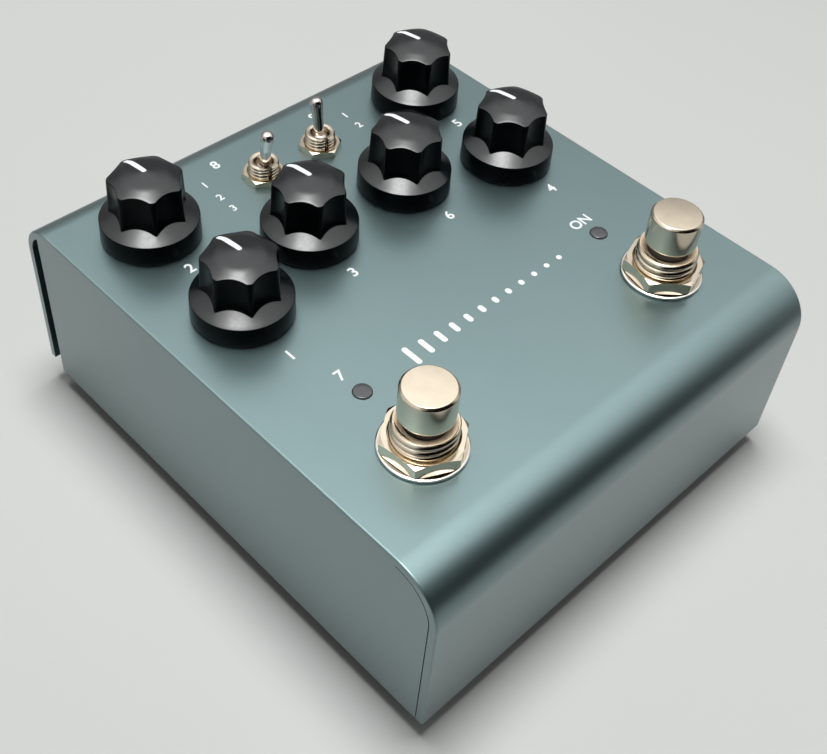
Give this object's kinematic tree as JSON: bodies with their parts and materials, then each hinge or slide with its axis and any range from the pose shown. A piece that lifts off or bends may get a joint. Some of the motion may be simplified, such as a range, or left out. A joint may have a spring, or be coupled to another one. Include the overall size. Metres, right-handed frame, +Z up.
{
  "type": "tape echo pedal",
  "caption": "Compact floor echo pedal: folded metal case with fluted knobs, toggle switches and footswitches on top, jacks at the rear.",
  "frame": {"origin": "on the floor under the middle of the pedal's bounding box, jacks included", "axes": "+X to the player's right, +Y to the rear face with the jacks, +Z up"},
  "size_m": [0.1016, 0.1178, 0.0595],
  "materials": {
    "anodised_casing": "anodised satin",
    "black_sheet": "satin",
    "zinc_steel": "satin",
    "black_rubber": "matt",
    "nickel_plate": "polished",
    "warm_nickel": "polished",
    "bright_chrome": "polished",
    "smoked_lens": "gloss",
    "white_plastic": "satin",
    "circuit_board": "satin",
    "chip_black": "matt",
    "can_aluminium": "satin",
    "grey_ribbon": "satin",
    "black_plastic": "satin",
    "black_knob": "gloss"
  },
  "bodies": {
    "chassis": {"casing": "anodised_casing", "base_plate": "black_sheet", "base_screws": "zinc_steel", "clinch_nuts": "zinc_steel", "rubber_feet": "black_rubber", "pot_washers": "nickel_plate", "pot_nuts": "nickel_plate", "toggle_nuts": "warm_nickel", "footswitch_washers": "nickel_plate", "footswitch_nuts": "warm_nickel", "status_lenses": "smoked_lens", "status_diodes": "white_plastic", "main_board": "circuit_board", "footswitch_board": "circuit_board", "signal_chips": "chip_black", "capacitors": "can_aluminium", "ribbon_cable": "grey_ribbon", "jack_washers": "nickel_plate", "jack_nuts": "nickel_plate", "power_socket": "black_plastic", "data_socket": "nickel_plate", "mode_switch": "nickel_plate", "pot_1": "zinc_steel", "pot_2": "zinc_steel", "pot_3": "zinc_steel", "pot_4": "zinc_steel", "pot_5": "zinc_steel", "pot_6": "zinc_steel", "toggle_body_1": "warm_nickel", "footswitch_body_1": "warm_nickel", "return_spring_1": "zinc_steel", "toggle_body_2": "warm_nickel", "footswitch_body_2": "warm_nickel", "return_spring_2": "zinc_steel", "expression_jack": "black_plastic", "right_output_jack": "black_plastic", "left_output_jack": "black_plastic", "input_jack": "black_plastic"},
    "knob_turn_1": {"knob_1": "black_knob", "pot_shaft_1": "can_aluminium"},
    "knob_turn_2": {"knob_2": "black_knob", "pot_shaft_2": "can_aluminium"},
    "knob_turn_3": {"knob_3": "black_knob", "pot_shaft_3": "can_aluminium"},
    "knob_turn_4": {"knob_4": "black_knob", "pot_shaft_4": "can_aluminium"},
    "knob_turn_5": {"knob_5": "black_knob", "pot_shaft_5": "can_aluminium"},
    "knob_turn_6": {"knob_6": "black_knob", "pot_shaft_6": "can_aluminium"},
    "toggle_1": {"toggle_lever_1": "bright_chrome"},
    "toggle_2": {"toggle_lever_2": "bright_chrome"},
    "button_1": {"plunger_1": "black_plastic", "cap_1": "warm_nickel"},
    "button_2": {"plunger_2": "black_plastic", "cap_2": "warm_nickel"},
    "mode_slide": {"mode_slider": "black_plastic"}
  },
  "joints": [
    {"name": "knob_1_turn", "type": "hinge", "parent": "chassis", "child": "knob_turn_1", "pos_m": [-0.03485, 0.00715, 0.04445], "axis": [0, 0, 1], "range_deg": [-150, 150]},
    {"name": "knob_2_turn", "type": "hinge", "parent": "chassis", "child": "knob_turn_2", "pos_m": [-0.03485, 0.03445, 0.04445], "axis": [0, 0, 1], "range_deg": [-150, 150]},
    {"name": "knob_3_turn", "type": "hinge", "parent": "chassis", "child": "knob_turn_3", "pos_m": [-0.01252, 0.01475, 0.04445], "axis": [0, 0, 1], "range_deg": [-150, 150]},
    {"name": "knob_4_turn", "type": "hinge", "parent": "chassis", "child": "knob_turn_4", "pos_m": [0.03485, 0.00715, 0.04445], "axis": [0, 0, 1], "range_deg": [-150, 150]},
    {"name": "knob_5_turn", "type": "hinge", "parent": "chassis", "child": "knob_turn_5", "pos_m": [0.03485, 0.03445, 0.04445], "axis": [0, 0, 1], "range_deg": [-150, 150]},
    {"name": "knob_6_turn", "type": "hinge", "parent": "chassis", "child": "knob_turn_6", "pos_m": [0.01252, 0.01475, 0.04445], "axis": [0, 0, 1], "range_deg": [-150, 150]},
    {"name": "toggle_1_tilt", "type": "hinge", "parent": "chassis", "child": "toggle_1", "pos_m": [-0.00745, 0.03445, 0.04595], "axis": [1, 0, 0], "range_deg": [-17, 0]},
    {"name": "toggle_2_tilt", "type": "hinge", "parent": "chassis", "child": "toggle_2", "pos_m": [0.00745, 0.03445, 0.04595], "axis": [1, 0, 0], "range_deg": [0, 17]},
    {"name": "button_1_press", "type": "slide", "parent": "chassis", "child": "button_1", "axis": [0, 0, -1], "range_m": [0, 0.0014], "stiffness_N_per_m": 900, "springref_m": -0.003, "deforming": ["return_spring_1"]},
    {"name": "button_2_press", "type": "slide", "parent": "chassis", "child": "button_2", "axis": [0, 0, -1], "range_m": [0, 0.0014], "stiffness_N_per_m": 900, "springref_m": -0.003, "deforming": ["return_spring_2"]},
    {"name": "mode_slide_across", "type": "slide", "parent": "chassis", "child": "mode_slide", "axis": [1, 0, 0], "range_m": [0, 0.002]}
  ]
}
